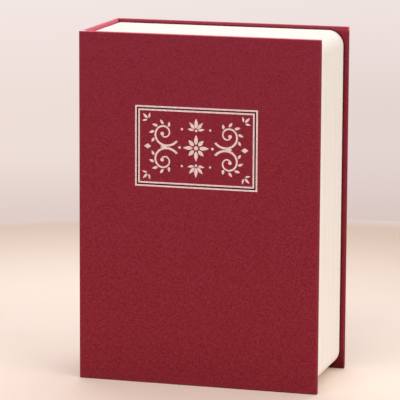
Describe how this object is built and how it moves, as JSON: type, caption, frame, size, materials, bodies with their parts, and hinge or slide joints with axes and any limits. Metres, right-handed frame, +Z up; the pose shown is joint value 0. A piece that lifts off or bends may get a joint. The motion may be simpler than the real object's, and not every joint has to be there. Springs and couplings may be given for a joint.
{
  "type": "book diversion safe",
  "caption": "Cloth-bound hardback book whose moulded page block hides a hinged, key-locked steel box under the front cover.",
  "frame": {"origin": "on the floor, under the middle of the standing book", "axes": "+Z up along the spine, +X from the spine to the fore-edge, +Y from the front cover to the back cover"},
  "size_m": [0.126, 0.062, 0.18],
  "materials": {
    "cloth": "burgundy book cloth with a fine mottled linen grain",
    "board": "raw greyboard",
    "paper": "off-white endpaper",
    "pages": "cream moulded plastic with page-edge ridges",
    "powder_coat": "black powder coat on folded sheet steel",
    "zinc": "zinc-plated steel",
    "chrome": "polished chrome plate on die-cast zinc",
    "brass": "machined brass",
    "foil": "silver foil stamped into the cloth"
  },
  "bodies": {
    "case": {"back_board": "board", "spine_board": "board", "case_cloth": "cloth", "back_pastedown": "paper", "spine_lining": "paper", "page_block": "pages", "steel_tray": "powder_coat", "door_stop": "powder_coat", "strike": "zinc", "strike_rivet_lower": "zinc", "strike_rivet_upper": "zinc", "tray_screw_tail_spine": "zinc", "tray_screw_tail_fore": "zinc", "tray_screw_head_spine": "zinc", "tray_screw_head_fore": "zinc", "hinge_box_leaf_lower": "powder_coat", "hinge_pin_lower": "zinc", "hinge_box_leaf_upper": "powder_coat", "hinge_pin_upper": "zinc", "box_leaf_rivet_lower_1": "zinc", "box_leaf_rivet_lower_2": "zinc", "box_leaf_rivet_upper_1": "zinc", "box_leaf_rivet_upper_2": "zinc"},
    "front_cover": {"front_board": "board", "front_cloth": "cloth", "front_pastedown": "paper"},
    "door": {"door_panel": "powder_coat", "hinge_door_leaf_lower": "powder_coat", "hinge_door_leaf_upper": "powder_coat", "door_rivet_lower_1": "zinc", "door_rivet_lower_2": "zinc", "door_rivet_upper_1": "zinc", "door_rivet_upper_2": "zinc", "lock_body": "chrome", "lock_washer": "zinc", "lock_nut": "zinc"},
    "lock_plug": {"lock_plug": "brass", "lock_cam": "zinc", "cam_washer": "zinc", "cam_screw": "zinc"}
  },
  "joints": [
    {"name": "cover_hinge", "type": "hinge", "parent": "case", "child": "front_cover", "pos_m": [-0.063, -0.028, 0.09], "axis": [0, 0, -1], "range_deg": [0, 176]},
    {"name": "door_hinge", "type": "hinge", "parent": "case", "child": "door", "pos_m": [-0.05132, -0.02538, 0.09], "axis": [0, 0, -1], "range_deg": [0, 110]},
    {"name": "lock_turn", "type": "hinge", "parent": "door", "child": "lock_plug", "pos_m": [0.028, -0.012, 0.09], "axis": [0, 1, 0], "range_deg": [0, 90]}
  ],
  "couplings": [
    {"joint": "door_hinge", "follows": "cover_hinge", "ratio": 0.625}
  ]
}
